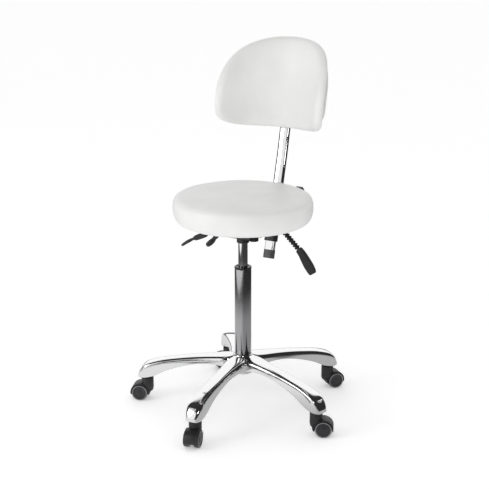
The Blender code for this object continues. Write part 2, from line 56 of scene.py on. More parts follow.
# ---- mesh helpers: every helper takes points measured from the gas-lift axis at floor level -----------
def new_object(name, verts, faces, shift=AXIS, weld=1e-6):
    mesh = bpy.data.meshes.new(name)
    mesh.from_pydata([tuple(Vector(v) + shift) for v in verts], [], faces)
    bm = bmesh.new()
    bm.from_mesh(mesh)
    bmesh.ops.remove_doubles(bm, verts=bm.verts, dist=weld)
    bmesh.ops.dissolve_degenerate(bm, edges=bm.edges, dist=1e-8)
    bmesh.ops.recalc_face_normals(bm, faces=bm.faces)
    bm.to_mesh(mesh)
    bm.free()
    for face in mesh.polygons:
        face.use_smooth = True
    obj = bpy.data.objects.new(name, mesh)
    bpy.context.scene.collection.objects.link(obj)
    return obj


def lathe(name, profile, steps=96, place=None, ripple=None):
    """Closed (radius, height) profile turned about Z. `ripple(angle, radius, height)` may move each point."""
    verts = []
    rings = []
    for r, z in profile:
        ring = []
        for k in range(steps):
            a = 2 * math.pi * k / steps
            radius, height = (r, z) if ripple is None or r < 1e-9 else ripple(a, r, z)
            verts.append(Vector((radius * math.cos(a), radius * math.sin(a), height)))
            ring.append(len(verts) - 1)
        rings.append(ring)
    faces = []
    for i in range(len(profile)):
        low = rings[i]
        high = rings[(i + 1) % len(profile)]
        for k in range(steps):
            m = (k + 1) % steps
            faces.append((low[k], low[m], high[m], high[k]))
    if place is not None:
        verts = [place @ v for v in verts]
    return new_object(name, verts, faces)


def rounded(profile, radius, steps=3):
    """Round every corner of a closed profile off the axis with short arcs."""
    out = []
    count = len(profile)
    for i, (r, z) in enumerate(profile):
        if r < 1e-9:
            out.append((r, z))
            continue
        here = Vector((r, z))
        before = Vector(profile[i - 1]) - here
        after = Vector(profile[(i + 1) % count]) - here
        if min(before.length, after.length) < 1e-6 or before.angle(after) > math.radians(165):
            out.append((r, z))
            continue
        reach = min(radius, 0.45 * before.length, 0.45 * after.length)
        start = here + before.normalized() * reach
        end = here + after.normalized() * reach
        for k in range(steps + 1):
            t = k / steps
            point = start * (1 - t) ** 2 + here * 2 * t * (1 - t) + end * t * t
            out.append((point.x, point.y))
    return out


def oval(half_w, half_t, power, count):
    points = []
    for k in range(count):
        a = 2 * math.pi * (k + 0.5) / count
        c, s = math.cos(a), math.sin(a)
        points.append((half_w * math.copysign(abs(c) ** (2 / power), c),
                       half_t * math.copysign(abs(s) ** (2 / power), s)))
    return points


def loft(name, loops, caps=True, shift=AXIS):
    n = len(loops[0])
    verts = [p for loop in loops for p in loop]
    faces = []
    for i in range(len(loops) - 1):
        for k in range(n):
            m = (k + 1) % n
            faces.append((i * n + k, i * n + m, (i + 1) * n + m, (i + 1) * n + k))
    if caps:
        faces.append(tuple(range(n)))
        faces.append(tuple((len(loops) - 1) * n + k for k in range(n)))
    return new_object(name, verts, faces, shift)


def spline(points, steps):
    """Catmull-Rom through tuples of numbers."""
    rows = [Vector(p) for p in points]
    out = []
    for i in range(len(rows) - 1):
        p0 = rows[max(i - 1, 0)]
        p1 = rows[i]
        p2 = rows[i + 1]
        p3 = rows[min(i + 2, len(rows) - 1)]
        for k in range(steps):
            t = k / steps
            out.append(0.5 * (p1 * 2 + (p2 - p0) * t + (p0 * 2 - p1 * 5 + p2 * 4 - p3) * t * t
                              + (p1 * 3 - p0 - p2 * 3 + p3) * t ** 3))
    out.append(rows[-1])
    return out


def sweep(name, path, sections):
    """Carry one section per path point along a path that lies mostly across Y."""
    across = Vector((0.0, 1.0, 0.0))
    path = [Vector(p) for p in path]
    loops = []
    for i, point in enumerate(path):
        tangent = (path[min(i + 1, len(path) - 1)] - path[max(i - 1, 0)]).normalized()
        second = tangent.cross(across).normalized()
        first = second.cross(tangent).normalized()
        loops.append([point + first * u + second * v for u, v in sections[i]])
    return loft(name, loops)


def subdivide(obj, levels):
    step = obj.modifiers.new("subdivision", "SUBSURF")
    step.levels = levels
    step.render_levels = levels
    return obj


def bevel(obj, width, segments=2, angle=35.0):
    step = obj.modifiers.new("bevel", "BEVEL")
    step.width = width
    step.segments = segments
    step.limit_method = "ANGLE"
    step.angle_limit = math.radians(angle)
    step.harden_normals = False
    for face in obj.data.polygons:
        face.use_smooth = True
    return obj


def apply_all(obj):
    graph = bpy.context.evaluated_depsgraph_get()
    mesh = bpy.data.meshes.new_from_object(obj.evaluated_get(graph))
    obj.modifiers.clear()
    obj.data = mesh
    return obj


def combine(obj, tool, operation):
    step = obj.modifiers.new("boolean", "BOOLEAN")
    step.operation = operation
    step.solver = "EXACT"
    step.object = tool
    apply_all(obj)
    bpy.data.objects.remove(tool, do_unlink=True)


def sharpen(obj, degrees):
    for face in obj.data.polygons:
        face.use_smooth = True
    obj.data.set_sharp_from_angle(angle=math.radians(degrees))
    return obj


def frame_along(start, direction):
    """Matrix that stands a lathe profile on `start` with its axis along `direction`."""
    z = Vector(direction).normalized()
    y = z.cross(Vector((0.0, 1.0, 0.0))).normalized()
    x = y.cross(z)
    m = Matrix((x, y, z)).transposed().to_4x4()
    m.translation = Vector(start)
    return m


# ---- materials ----------------------------------------------------------------------------------------
class Shader:
    """Small wrapper round one Principled material and its nodes."""

    def __init__(self, name, colour, metallic, roughness):
        self.material = bpy.data.materials.new(name)
        self.material.use_nodes = True
        self.tree = self.material.node_tree
        self.main = self.tree.nodes["Principled BSDF"]
        self.main.inputs["Base Color"].default_value = (*colour, 1.0)
        self.main.inputs["Metallic"].default_value = metallic
        self.main.inputs["Roughness"].default_value = roughness
        self.where = self.tree.nodes.new("ShaderNodeTexCoord").outputs["Object"]
        self.normal = None

    def node(self, kind, **inputs):
        made = self.tree.nodes.new(kind)
        for key, value in inputs.items():
            made.inputs[key.replace("_", " ")].default_value = value
        return made

    def link(self, a, b):
        self.tree.links.new(a, b)

    def noise(self, scale, detail=3.0, roughness=0.5, stretch=None):
        made = self.node("ShaderNodeTexNoise", Scale=scale, Detail=detail, Roughness=roughness)
        if stretch is None:
            self.link(self.where, made.inputs["Vector"])
        else:
            mapping = self.tree.nodes.new("ShaderNodeMapping")
            mapping.inputs["Scale"].default_value = stretch
            self.link(self.where, mapping.inputs["Vector"])
            self.link(mapping.outputs["Vector"], made.inputs["Vector"])
        return made.outputs["Fac"]

    def spread(self, source, low, high, first=0.3, last=0.7):
        made = self.tree.nodes.new("ShaderNodeMapRange")
        made.inputs["From Min"].default_value = first
        made.inputs["From Max"].default_value = last
        made.inputs["To Min"].default_value = low
        made.inputs["To Max"].default_value = high
        self.link(source, made.inputs["Value"])
        return made.outputs["Result"]

    def tint(self, source, dark, light):
        ramp = self.tree.nodes.new("ShaderNodeValToRGB")
        ramp.color_ramp.elements[0].position = 0.3
        ramp.color_ramp.elements[0].color = (*dark, 1.0)
        ramp.color_ramp.elements[1].position = 0.7
        ramp.color_ramp.elements[1].color = (*light, 1.0)
        self.link(source, ramp.inputs["Fac"])
        self.link(ramp.outputs["Color"], self.main.inputs["Base Color"])

    def rough(self, source, low, high):
        self.link(self.spread(source, low, high), self.main.inputs["Roughness"])

    def bump(self, source, strength, distance):
        made = self.node("ShaderNodeBump", Strength=strength, Distance=distance)
        self.link(source, made.inputs["Height"])
        if self.normal is not None:
            self.link(self.normal, made.inputs["Normal"])
        self.normal = made.outputs["Normal"]
        self.link(self.normal, self.main.inputs["Normal"])


def leather_material():
    s = Shader("white_leather", (0.84, 0.84, 0.83), 0.0, 0.42)
    s.tint(s.noise(9.0, 4.0), (0.80, 0.80, 0.79), (0.86, 0.86, 0.855))
    s.rough(s.noise(60.0, 4.0), 0.38, 0.50)
    cells = s.node("ShaderNodeTexVoronoi", Scale=780.0)
    cells.feature = "DISTANCE_TO_EDGE"
    s.link(s.where, cells.inputs["Vector"])
    s.bump(s.spread(cells.outputs["Distance"], 0.0, 1.0, 0.0, 0.25), 0.16, 0.0002)
    s.bump(s.noise(420.0, 3.0), 0.18, 0.0003)
    s.bump(s.noise(14.0, 3.0), 0.25, 0.0012)
    s.main.inputs["Specular IOR Level"].default_value = 0.45
    s.main.inputs["Sheen Weight"].default_value = 0.05
    return s.material


def chrome_material(name, colour, low, high, ripple):
    s = Shader(name, colour, 1.0, low)
    s.rough(s.noise(26.0, 5.0), low, high)
    s.bump(s.noise(18.0, 2.0), 0.10, ripple)
    s.bump(s.noise(700.0, 2.0, 0.5, (1.0, 1.0, 0.06)), 0.03, 0.00005)
    return s.material


def plastic_material(name, dark, light, low, high, grain):
    s = Shader(name, light, 0.0, low)
    s.tint(s.noise(40.0, 4.0), dark, light)
    s.rough(s.noise(90.0, 4.0), low, high)
    s.bump(s.noise(grain, 3.0), 0.22, 0.00015)
    return s.material


def paint_material():
    s = Shader("black_paint", (0.018, 0.018, 0.02), 0.0, 0.34)
    s.tint(s.noise(30.0, 4.0), (0.013, 0.013, 0.015), (0.026, 0.026, 0.028))
    s.rough(s.noise(70.0, 4.0), 0.26, 0.42)
    s.bump(s.noise(600.0, 2.0), 0.25, 0.00015)
    s.main.inputs["Coat Weight"].default_value = 0.3
    s.main.inputs["Coat Roughness"].default_value = 0.2
    return s.material


def steel_material():
    s = Shader("zinc_steel", (0.62, 0.62, 0.61), 1.0, 0.32)
    s.tint(s.noise(50.0, 5.0), (0.52, 0.53, 0.53), (0.68, 0.68, 0.67))
    s.rough(s.noise(200.0, 4.0), 0.26, 0.42)
    s.bump(s.noise(900.0, 3.0), 0.15, 0.0001)
    return s.material


def wood_material():
    # plywood coloured near black (0.05) with grain streaks
    s = Shader("dark_plywood", (0.05, 0.042, 0.036), 0.0, 0.7)
    grain = s.noise(24.0, 6.0, 0.6, (1.0, 9.0, 9.0))
    s.tint(grain, (0.030, 0.025, 0.021), (0.075, 0.062, 0.052))
    s.rough(grain, 0.62, 0.80)
    s.bump(grain, 0.3, 0.0004)
    return s.material


LEATHER = leather_material()
POLISHED = chrome_material("polished_aluminium", (0.86, 0.86, 0.865), 0.07, 0.15, 0.0008)
CHROME = chrome_material("bright_chrome", (0.82, 0.82, 0.83), 0.03, 0.08, 0.0002)
TUBE = chrome_material("tube_chrome", (0.44, 0.44, 0.45), 0.12, 0.22, 0.0002)
PLASTIC = plastic_material("black_plastic", (0.012, 0.012, 0.013), (0.024, 0.024, 0.026), 0.34, 0.50, 1500.0)
GLOSS = plastic_material("gloss_black_plastic", (0.008, 0.008, 0.009), (0.016, 0.016, 0.017), 0.12, 0.24,
                         900.0)
NYLON = plastic_material("black_nylon", (0.016, 0.016, 0.018), (0.032, 0.032, 0.035), 0.30, 0.46, 800.0)
GREY = plastic_material("grey_nylon", (0.20, 0.20, 0.21), (0.30, 0.30, 0.31), 0.34, 0.48, 800.0)
CAP = plastic_material("grey_cap_plastic", (0.055, 0.055, 0.058), (0.10, 0.10, 0.105), 0.22, 0.36, 900.0)
SHELL = plastic_material("white_shell", (0.70, 0.70, 0.69), (0.80, 0.80, 0.79), 0.42, 0.55, 900.0)
PAINT = paint_material()
STEEL = steel_material()
WOOD = wood_material()


def finish(obj, material, body, slot, *nodes):
    """Give a piece its material and body, and hide the CAD nodes it stands for; the slot argument is not
    used.
    """
    if isinstance(material, list):
        wanted = material
    else:
        wanted = [material]
    marks = [face.material_index for face in obj.data.polygons]
    obj.data.materials.clear()
    for one in wanted:
        obj.data.materials.append(one)
    for face, mark in zip(obj.data.polygons, marks):
        face.material_index = mark if len(wanted) > 1 else 0
    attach(obj, body)
    if nodes:
        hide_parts(*nodes)
    return obj


def keep(node, material, width=0.0):
    """Show a CAD node as it is, with a better material and softened edges."""
    obj = NODES[node]
    obj.data.materials.clear()
    obj.data.materials.append(material)
    for face in obj.data.polygons:
        face.material_index = 0
    if width:
        bevel(obj, width, 2, 30.0)


# ---- star base ----------------------------------------------------------------------------------------
FIFTH = math.radians(72.0)
ARM = (  # radius, half width, top, lower lip
    (0.042, 0.0300, 0.1656, 0.130), (0.060, 0.0300, 0.1642, 0.1345), (0.085, 0.0268, 0.1614, 0.137),
    (0.130, 0.0232, 0.1565, 0.135), (0.175, 0.0222, 0.1508, 0.126), (0.224, 0.0221, 0.1430, 0.110),
    (0.250, 0.0228, 0.1380, 0.098), (0.275, 0.0238, 0.1312, 0.085), (0.300, 0.0246, 0.1222, 0.0785),
    (0.312, 0.0228, 0.1120, 0.0770), (0.321, 0.0192, 0.0995, 0.0770), (0.3275, 0.0135, 0.0865, 0.0770),
)
ACROSS = (0.0, 0.42, 0.74, 0.93, 1.0)
CROWN = (0.0008, 0.0005, -0.0008, -0.0042, -0.0115)
DOWN = (0.30, 0.68, 1.0)


def arm_rows():
    """Half sections of one arm: a fan round the hub, then the arm itself out to its tip."""
    rows = []
    for radius, edge, top, drop in ((0.0272, 0.0272, 0.1700, 0.0015), (0.0335, 0.0370, 0.1672, 0.0060)):
        row = []
        for j, share in enumerate(ACROSS):
            a = 0.5 * FIFTH * share
            r = radius + (edge - radius) * share ** 3
            row.append((r * math.cos(a), r * math.sin(a), top + CROWN[j] * drop / 0.0115))
        rows.append(row)
    table = spline(ARM, 2)
    for i, (r, half, top, low) in enumerate(table):
        height = top - low
        row = []
        for j, share in enumerate(ACROSS):
            y = half * share
            x = r
            if i == 0:
                x = r * (1 - share ** 2) + (half / math.tan(0.5 * FIFTH)) * share ** 2
            row.append((x, y, top + CROWN[j] * min(1.0, height / 0.020)))
        edge = row[-1][2]
        for share in DOWN:
            draft = 0.0 if i == 0 else 0.0016 * share
            row.append((row[4][0], half + draft, edge + (low - edge) * share))
        rows.append(row)
    return rows


def build_star():
    rows = arm_rows()
    verts = []
    faces = []
    for number in range(5):
        a = centre(f"caster_stem_{number + 1}") - AXIS
        turn = Matrix.Rotation(math.atan2(a.y, a.x), 4, "Z")
        index = {}
        for i, row in enumerate(rows):
            for j, (x, y, z) in enumerate(row):
                for side in (-1, 1):
                    if j == 0 and side < 0:
                        continue
                    verts.append(turn @ Vector((x, side * y, z)))
                    index[i, j, side] = len(verts) - 1
                if j == 0:
                    index[i, 0, -1] = index[i, 0, 1]
        for side in (-1, 1):
            for i in range(len(rows) - 1):
                for j in range(min(len(rows[i]), len(rows[i + 1])) - 1):
                    faces.append((index[i, j, side], index[i + 1, j, side],
                                  index[i + 1, j + 1, side], index[i, j + 1, side]))
        last = len(rows) - 1
        for j in range(len(rows[last]) - 1):
            quad = [index[last, j, 1], index[last, j + 1, 1], index[last, j + 1, -1], index[last, j, -1]]
            faces.append(tuple(dict.fromkeys(quad)))
    star = new_object("star_arms", verts, faces, weld=2e-5)
    solid = star.modifiers.new("wall", "SOLIDIFY")
    solid.thickness = 0.0034
    solid.offset = -1.0
    subdivide(star, 2)
    apply_all(star)
    finish(star, POLISHED, "base", "polished", "base_star")
    hub = lathe("star_hub", rounded([(0.0254, 0.112), (0.0308, 0.112), (0.0312, 0.1660), (0.0290, 0.1716),
                                     (0.0254, 0.1722)], 0.0016), 96)
    finish(hub, POLISHED, "base", "polished")
    for number in range(5):
        at = centre(f"caster_stem_{number + 1}") - AXIS
        at.z = 0.0
        boss = lathe(f"star_boss_{number + 1}", rounded([
            (0.0060, 0.0772), (0.0172, 0.0772), (0.0165, 0.1130), (0.0060, 0.1130)], 0.0014), 48,
            Matrix.Translation(at))
        finish(boss, POLISHED, "base", "polished")


# ---- castors ------------------------------------------------------------------------------------------
HOOD_R = 0.0292
HOOD_HALF = 0.0205
WHEEL_POCKET_R = 0.0267


def build_casters():
    trail = (centre("caster_axle_1") - centre("caster_stem_1")).xy.length
    height = centre("caster_axle_1").z
    points = []
    for k in range(37):
        a = math.radians(-10.0 + 170.0 * k / 36)
        points.append((trail + HOOD_R * math.cos(a), height + HOOD_R * math.sin(a)))
    points += [(-0.0112, 0.032), (-0.0104, 0.026), (-0.0080, 0.0205), (0.006, 0.0112), (0.036, 0.0112)]
    zero = Vector((0, 0, 0))
    hood = loft("hood", [[Vector((x, y, z)) for x, z in points] for y in (-HOOD_HALF, HOOD_HALF)],
                shift=zero)

    def local_lathe(name, profile, steps, place=None):
        made = lathe(name, profile, steps, place)
        made.data.transform(Matrix.Translation(-AXIS))
        return made

    collar = local_lathe("collar", [(0, 0.029), (0.0160, 0.029), (0.0180, 0.034), (0.0188, 0.040),
                                    (0.0188, 0.0710), (0.0182, 0.0730), (0.0166, 0.0741), (0, 0.0742)], 56)
    combine(hood, collar, "UNION")
    axle_frame = Matrix.Translation((trail, 0, height)) @ Matrix.Rotation(math.radians(-90), 4, "X")
    for side in (-1, 1):
        ends = sorted((side * 0.0075, side * 0.0300))
        pocket = local_lathe("pocket", [
            (0, ends[0]), (WHEEL_POCKET_R, ends[0]), (WHEEL_POCKET_R, ends[1]), (0, ends[1])], 72, axle_frame)
        combine(hood, pocket, "DIFFERENCE")
    combine(hood, local_lathe("bore", [(0, 0.0445), (0.0060, 0.0445), (0.0060, 0.080), (0, 0.080)], 32),
            "DIFFERENCE")
    bevel(hood, 0.0007, 2, 32.0)
    apply_all(hood)
    sharpen(hood, 50.0)

    tread = [(0.0034, 0.0083), (0.0060, 0.0083), (0.0066, 0.0096), (0.0200, 0.0096), (0.0212, 0.0083),
             (0.0234, 0.0083), (0.0245, 0.0089), (0.0250, 0.0102), (0.0250, 0.0212), (0.0246, 0.0222),
             (0.0238, 0.0227)]
    ring = [(0.0228, 0.0227), (0.0222, 0.0223), (0.0214, 0.0223)]
    disc = [(0.0208, 0.0227), (0.0200, 0.0226), (0.0190, 0.0219), (0.0100, 0.0216), (0.0085, 0.0218),
            (0.0076, 0.0226), (0.0066, 0.0228), (0.0, 0.0229), (0.0, 0.0196), (0.0034, 0.0196)]
    profile = tread + ring + disc
    wheels = []
    for side in (-1, 1):
        wheel = local_lathe(f"wheel{side}", [(r, side * w) for r, w in profile], 72, axle_frame)
        for face in wheel.data.polygons:
            spot = axle_frame.inverted() @ face.center
            around = math.hypot(spot.x, spot.y)
            outward = abs(spot.z)
            if 0.0212 < around < 0.0234 and outward > 0.020:
                face.material_index = 1
        wheels.append(sharpen(wheel, 60.0))

    for number in range(1, 6):
        at = centre(f"caster_stem_{number}")
        spot = centre(f"caster_axle_{number}")
        turn = Matrix.Rotation(math.atan2(spot.y - at.y, spot.x - at.x), 4, "Z")
        place = Matrix.Translation((at.x, at.y, 0.0)) @ turn
        for source, label, material, slot, body, node in (
                (hood, f"castor_hood_{number}", PLASTIC, "black_plastic", f"caster_{number}",
                 f"caster_hood_{number}"),
                (wheels[0], f"castor_wheel_{number}_a", [NYLON, GREY], "wheel_plastic", f"wheel_{number}_a",
                 f"caster_wheel_{number}_a"),
                (wheels[1], f"castor_wheel_{number}_b", [NYLON, GREY], "wheel_plastic", f"wheel_{number}_b",
                 f"caster_wheel_{number}_b")):
            made = bpy.data.objects.new(label, source.data.copy())
            bpy.context.scene.collection.objects.link(made)
            made.data.transform(place)
            finish(made, material, body, slot, node)
        stem = lathe(f"castor_stem_{number}", rounded([
            (0, 0.046), (0.0055, 0.046), (0.0055, 0.0745), (0.0092, 0.0745), (0.0092, 0.0767),
            (0.0055, 0.0767), (0.0055, 0.105), (0, 0.105)], 0.0005, 2), 32,
            Matrix.Translation((at.x - AXIS.x, at.y - AXIS.y, 0.0)))
        finish(stem, STEEL, "base", "steel", f"caster_stem_{number}")
        keep(f"caster_axle_{number}", STEEL, 0.0003)
    for obj in [hood] + wheels:
        bpy.data.objects.remove(obj, do_unlink=True)


# ---- gas lift -----------------------------------------------------------------------------------------
def build_lift():
    tube = lathe("outer_tube", rounded([
        (0.006, 0.110), (0.0250, 0.110), (0.0250, 0.442), (0.0225, 0.442), (0.0225, 0.114),
        (0.006, 0.114)], 0.0007), 128)
    finish(tube, TUBE, "base", "polished", "column_tube")
    bush = lathe("guide_bush", rounded([
        (0.0144, 0.360), (0.0221, 0.360), (0.0221, 0.4423), (0.0255, 0.4423), (0.0257, 0.4462),
        (0.0246, 0.4478), (0.0200, 0.4478), (0.0182, 0.4466), (0.0160, 0.4466), (0.0144, 0.4474)],
        0.0006), 128)
    finish(bush, GLOSS, "base", "black_plastic", "column_bush")
    gas = lathe("inner_cylinder", rounded([
        (0.0054, 0.200), (0.0140, 0.200), (0.0140, 0.521), (0.0139, 0.524), (0.0133, 0.568),
        (0.0042, 0.568), (0.0042, 0.546), (0.0120, 0.546), (0.0120, 0.212), (0.0054, 0.212)], 0.0006), 96)
    finish(gas, CHROME, "lift", "polished", "gas_cylinder")
    socket = lathe("cylinder_socket", rounded([
        (0.01435, 0.522), (0.0178, 0.522), (0.0185, 0.5235), (0.0185, 0.570), (0.01365, 0.570)], 0.0006), 96)
    finish(socket, PAINT, "lift", "black_steel", "taper_socket")
    for node in ("thrust_bearing", "retaining_clip", "piston_rod", "valve_button"):
        keep(node, STEEL, 0.0003)


# ---- mechanism and levers -----------------------------------------------------------------------------
def build_mechanism():
    keep("mechanism_pan", PAINT, 0.0008)
    keep("seat_plate", PAINT, 0.0007)
    keep("back_bracket", PAINT, 0.0008)
    keep("seat_pivot_pin", STEEL, 0.0004)
    keep("back_pivot_pin", STEEL, 0.0004)
    for number in range(1, 5):
        keep(f"seat_bolt_{number}", STEEL, 0.0004)
    for number in range(1, 3):
        keep(f"pad_bolt_{number}", STEEL, 0.0004)


def handle(name, path, halves, body, node, power=2.6):
    """Moulded grip swept along `path`, with half width and half thickness given at each point."""
    rows = spline([(*p, *h) for p, h in zip(path, halves)], 3)
    points = [Vector((r[0], r[1], r[2])) for r in rows]
    sections = [oval(r[3], r[4], power, 20) for r in rows]
    made = sweep(name, points, sections)
    bevel(made, 0.0007, 2, 40.0)
    subdivide(made, 1)
    return finish(made, PLASTIC, body, "black_plastic", node)


def build_levers():
    back = centre("back_pivot_pin") - AXIS
    tilt = centre("tilt_lever_rod") - AXIS
    wire = spline([(0.0045, 0, 0.5771, 0.0036, 0.0017), (-0.050, 0, 0.5771, 0.0036, 0.0017),
                   (-0.061, 0, 0.5752, 0.0036, 0.0020), (-0.070, 0, 0.5700, 0.0036, 0.0026),
                   (-0.080, 0, 0.5625, 0.0036, 0.0030), (-0.126, 0, 0.5290, 0.0036, 0.0030),
                   (-0.146, 0, 0.5200, 0.0036, 0.0030)], 4)
    rod = sweep("height_lever_rod", [(r[0], r[1], r[2]) for r in wire],
                [oval(r[3], r[4], 2.8, 20) for r in wire])
    finish(bevel(rod, 0.0004), PAINT, "lift_lever", "black_steel", "lift_lever_rod")
    handle("height_lever_handle",
           [(-0.1235, 0, 0.5307), (-0.126, 0, 0.5290), (-0.138, 0, 0.5234), (-0.150, 0, 0.5182),
            (-0.160, 0, 0.5136), (-0.168, 0, 0.5098), (-0.176, 0, 0.5055), (-0.187, 0, 0.4988),
            (-0.198, 0, 0.4910), (-0.205, 0, 0.4858), (-0.2085, 0, 0.4832)],
           [(0.0080, 0.0060), (0.0100, 0.0082), (0.0102, 0.0088), (0.0098, 0.0088), (0.0086, 0.0080),
            (0.0064, 0.0040), (0.0098, 0.0048), (0.0130, 0.0052), (0.0122, 0.0046), (0.0085, 0.0040),
            (0.0040, 0.0025)], "lift_lever", "lift_lever_paddle")
    keep("tilt_lever_rod", PAINT, 0.0004)
    y = tilt.y
    handle("tilt_lever_handle",
           [(-0.0530, y, 0.5560), (-0.0555, y, 0.5556), (-0.0605, y, 0.5515), (-0.0660, y, 0.5435),
            (-0.0715, y, 0.5360), (-0.0780, y, 0.5282), (-0.0865, y, 0.5195), (-0.0930, y, 0.5138),
            (-0.0958, y, 0.5116)],
           [(0.0078, 0.0074), (0.0088, 0.0086), (0.0088, 0.0090), (0.0082, 0.0082), (0.0076, 0.0058),
            (0.0118, 0.0076), (0.0138, 0.0082), (0.0112, 0.0070), (0.0045, 0.0034)],
           "tilt_lever", "tilt_lever_paddle")

    y = back.y
    wire = spline([(-0.050, y, 0.552), (0.060, y, 0.552), (0.076, y, 0.5516), (0.0850, y, 0.5492),
                   (0.0930, y, 0.5445), (0.1180, y, 0.5205), (0.1430, y, 0.4960), (0.1500, y, 0.4886)], 4)
    rod = sweep("angle_lever_rod", wire, [oval(0.0040, 0.0040, 2.0, 24)] * len(wire))
    finish(bevel(rod, 0.0004), PAINT, "back_lever", "black_steel", "back_lever_rod")
    start = Vector((0.0945, y, 0.5435))
    end = Vector((0.1405, y, 0.4985))
    length = (end - start).length
    profile = [(0.0044, 0.0), (0.0060, 0.0)]
    ribs = 7
    for k in range(ribs):
        at = length * (k + 0.5) / ribs
        profile += [(0.0060, at - 0.0027), (0.0080, at - 0.0020), (0.0088, at - 0.0012),
                    (0.0088, at + 0.0012), (0.0080, at + 0.0020), (0.0060, at + 0.0027)]
    profile += [(0.0060, length), (0.0044, length)]
    sleeve = lathe("ribbed_sleeve", profile, 40, frame_along(start, end - start))
    finish(sharpen(sleeve, 60.0), PLASTIC, "back_lever", "black_plastic", "back_lever_sleeve")
    handle("angle_lever_handle",
           [(0.1415, y, 0.4975), (0.1440, y, 0.4950), (0.1480, y, 0.4906), (0.1515, y, 0.4868),
            (0.1560, y, 0.4805), (0.1640, y, 0.4680), (0.1740, y, 0.4525), (0.1825, y, 0.4395),
            (0.1880, y, 0.4308), (0.1908, y, 0.4265)],
           [(0.0062, 0.0082), (0.0070, 0.0104), (0.0072, 0.0110), (0.0072, 0.0114), (0.0070, 0.0122),
            (0.0066, 0.0138), (0.0062, 0.0152), (0.0056, 0.0146), (0.0050, 0.0128), (0.0040, 0.0098)],
           "back_lever", "back_lever_paddle", power=4.5)


# ---- seat ---------------------------------------------------------------------------------------------
def seat_ripple(angle, radius, height):
    """Small unevenness of a stuffed cover: gathers along the seam and the lower edge, slow waves on top."""
    seam = math.exp(-((height - SEAM_Z) / 0.004) ** 2) * min(1.0, radius / 0.19)
    hem = math.exp(-((height - HEM_Z) / 0.006) ** 2) * min(1.0, radius / 0.18)
    spot = Vector((radius * math.cos(angle), radius * math.sin(angle), height))
    slow = noise.noise(spot * 14.0)
    gather = noise.noise(Vector((math.cos(angle) * 22.0, math.sin(angle) * 22.0, 3.0)))
    fine = noise.noise(Vector((math.cos(angle) * 60.0, math.sin(angle) * 60.0, 9.0)))
    radius += 0.0007 * slow + seam * 0.0005 * gather + hem * (0.0010 * gather + 0.0006 * fine)
    if height > 0.655:
        height += 0.0009 * slow
    return radius, height


CROWN_RISE = 0.0065                                 # the stuffed crown stands this far over the flat solid
SEAM_Z, HEM_Z = 0.6573, 0.5930


def build_seat():
    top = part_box("seat_cushion")[1].z + CROWN_RISE
    outline = [(0.1800, 0.5900), (0.1835, 0.5898), (0.1880, 0.5908), (0.1932, 0.5938), (0.1982, 0.5990),
               (0.2020, 0.6060), (0.2044, 0.6130), (0.2058, 0.6215), (0.2064, 0.6300), (0.2062, 0.6385),
               (0.2050, 0.6465), (0.2030, 0.6530), (0.2008, 0.6566)]
    side = [tuple(v) for v in spline(outline, 3)]
    seam = [(0.2000, SEAM_Z), (0.1995, 0.6574), (0.1992, 0.6580)]
    crown = [(0.1987, 0.6592), (0.1955, 0.6616), (0.1900, 0.6636), (0.1790, 0.6652), (0.1600, 0.6662),
             (0.1300, 0.6668), (0.0950, 0.6672), (0.0600, 0.6675), (0.0250, top), (0.0, top)]
    panel = [tuple(v) for v in spline(crown, 3)]
    inside = [(0.0, 0.6010), (0.1400, 0.6010), (0.1803, 0.6010), (0.1803, 0.5960)]
    cushion = lathe("seat_pad", side + seam + panel + inside, 224, ripple=seat_ripple)
    finish(cushion, LEATHER, "seat", "leather", "seat_cushion")
    board = lathe("seat_base_board", rounded([
        (0, 0.5885), (0.1798, 0.5885), (0.1798, 0.6005), (0, 0.6005)], 0.0012), 128)
    finish(board, WOOD, "seat", "board", "seat_board")


# ---- backrest -----------------------------------------------------------------------------------------
LEAN = math.radians(14.0)
PAD_R = 0.176
PAD_BASE = (0.266, 0.840)
PAD_HALF = 0.229
PAD_LOW = 0.019
PAD_WIDEST = 0.080
PAD_TOP = 0.257


def pad_point(arc, rise, offset):
    angle = arc / PAD_R
    radius = PAD_R + offset
    y = PAD_BASE[0] + radius * math.cos(angle) - PAD_R + rise * math.sin(LEAN)
    return Vector((radius * math.sin(angle), y, PAD_BASE[1] + rise * math.cos(LEAN)))


def pad_ring(share, inset, count):
    """Flat-bottomed half-round outline shrunk to `share`, as (arc, rise)."""
    half = PAD_HALF - inset
    points = []
    for k in range(count):
        a = 2 * math.pi * k / count
        c, s = math.cos(a), math.sin(a)
        power = 2.25 + 1.05 / (1.0 + math.exp(14.0 * (s - 0.05)))
        reach = (PAD_TOP - PAD_WIDEST if s > 0 else PAD_WIDEST + PAD_LOW) - inset
        scale = (abs(c) ** power + abs(s) ** power) ** (-1.0 / power)
        points.append((half * scale * c * share, PAD_WIDEST + reach * scale * s * share))
    return points


def pad_surface(name, section, inset, count=160):
    """Rings given as (share, offset) from the middle of the front round the rim to the middle of the back."""
    verts = []
    for share, offset in section:
        for arc, rise in pad_ring(share, inset, count):
            wave = 0.0
            if 0.2 < share < 0.97:
                wave = 0.0008 * noise.noise(Vector((arc * 16.0, rise * 16.0, offset * 30.0)))
            verts.append(pad_point(arc, rise, offset + wave))
    faces = []
    for i in range(len(section) - 1):
        for k in range(count):
            m = (k + 1) % count
            faces.append((i * count + k, i * count + m, (i + 1) * count + m, (i + 1) * count + k))
    return new_object(name, verts, faces)


